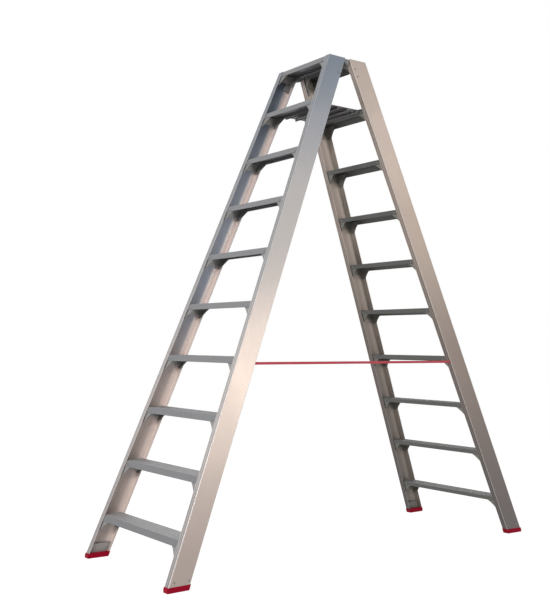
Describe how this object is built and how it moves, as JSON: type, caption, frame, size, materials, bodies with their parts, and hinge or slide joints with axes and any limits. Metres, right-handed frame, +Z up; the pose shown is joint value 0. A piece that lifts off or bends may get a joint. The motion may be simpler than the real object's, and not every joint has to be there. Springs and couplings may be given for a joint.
{
  "type": "trestle ladder",
  "caption": "Double-sided aluminium trestle ladder with braced ribbed treads, red feet, a stay band, a top hinge and a fold-up plank between the sections.",
  "frame": {"origin": "centre of the four feet's footprint, on the ground", "axes": "+X across the ladder to the right seen from the front section, +Y towards the rear section, +Z up"},
  "size_m": [0.7734, 2.1912, 2.429],
  "materials": {
    "stile_aluminium": "mill finish, fine drawn lines along the length",
    "tread_aluminium": "mill finish, matt, ribbed",
    "brace_aluminium": "matt pressed sheet",
    "rivet_aluminium": "bright heads",
    "hinge_steel": "dark zinc plate",
    "foot_plastic": "red moulded plastic",
    "band_webbing": "woven red webbing"
  },
  "bodies": {
    "rear_section": {"rear_stile_left": "stile_aluminium", "rear_stile_right": "stile_aluminium", "rear_tread_1": "tread_aluminium", "rear_tread_2": "tread_aluminium", "rear_tread_3": "tread_aluminium", "rear_tread_4": "tread_aluminium", "rear_tread_5": "tread_aluminium", "rear_tread_6": "tread_aluminium", "rear_tread_7": "tread_aluminium", "rear_tread_8": "tread_aluminium", "rear_tread_9": "tread_aluminium", "rear_tread_10": "tread_aluminium", "rear_braces_left": "brace_aluminium", "rear_braces_right": "brace_aluminium", "rear_foot_left": "foot_plastic", "rear_foot_right": "foot_plastic", "rear_foot_plates": "brace_aluminium", "rear_hinge_left": "hinge_steel", "rear_hinge_right": "hinge_steel", "rear_tread_rivets": "rivet_aluminium", "rear_foot_rivets": "rivet_aluminium", "rear_hinge_rivets": "rivet_aluminium", "rear_band_rivet": "rivet_aluminium", "hinge_pin_left": "hinge_steel", "hinge_pin_right": "hinge_steel", "band": "band_webbing", "platform_rod": "hinge_steel", "platform_lugs": "hinge_steel"},
    "front_section": {"front_stile_left": "stile_aluminium", "front_stile_right": "stile_aluminium", "front_tread_1": "tread_aluminium", "front_tread_2": "tread_aluminium", "front_tread_3": "tread_aluminium", "front_tread_4": "tread_aluminium", "front_tread_5": "tread_aluminium", "front_tread_6": "tread_aluminium", "front_tread_7": "tread_aluminium", "front_tread_8": "tread_aluminium", "front_tread_9": "tread_aluminium", "front_tread_10": "tread_aluminium", "front_braces_left": "brace_aluminium", "front_braces_right": "brace_aluminium", "front_foot_left": "foot_plastic", "front_foot_right": "foot_plastic", "front_foot_plates": "brace_aluminium", "front_hinge_left": "hinge_steel", "front_hinge_right": "hinge_steel", "front_tread_rivets": "rivet_aluminium", "front_foot_rivets": "rivet_aluminium", "front_hinge_rivets": "rivet_aluminium", "front_band_rivet": "rivet_aluminium", "platform_rest": "hinge_steel"},
    "platform": {"platform_plank": "tread_aluminium"}
  },
  "joints": [
    {"name": "section_fold", "type": "hinge", "parent": "rear_section", "child": "front_section", "pos_m": [0, 0, 2.412], "axis": [1, 0, 0], "range_deg": [0, 44], "deforming": ["band"]},
    {"name": "plank_swing", "type": "hinge", "parent": "rear_section", "child": "platform", "pos_m": [0, 0.10026, 2.18334], "axis": [-1, 0, 0], "range_deg": [0, 68]}
  ],
  "couplings": [
    {"joint": "plank_swing", "follows": "section_fold", "ratio": 1.5454}
  ]
}
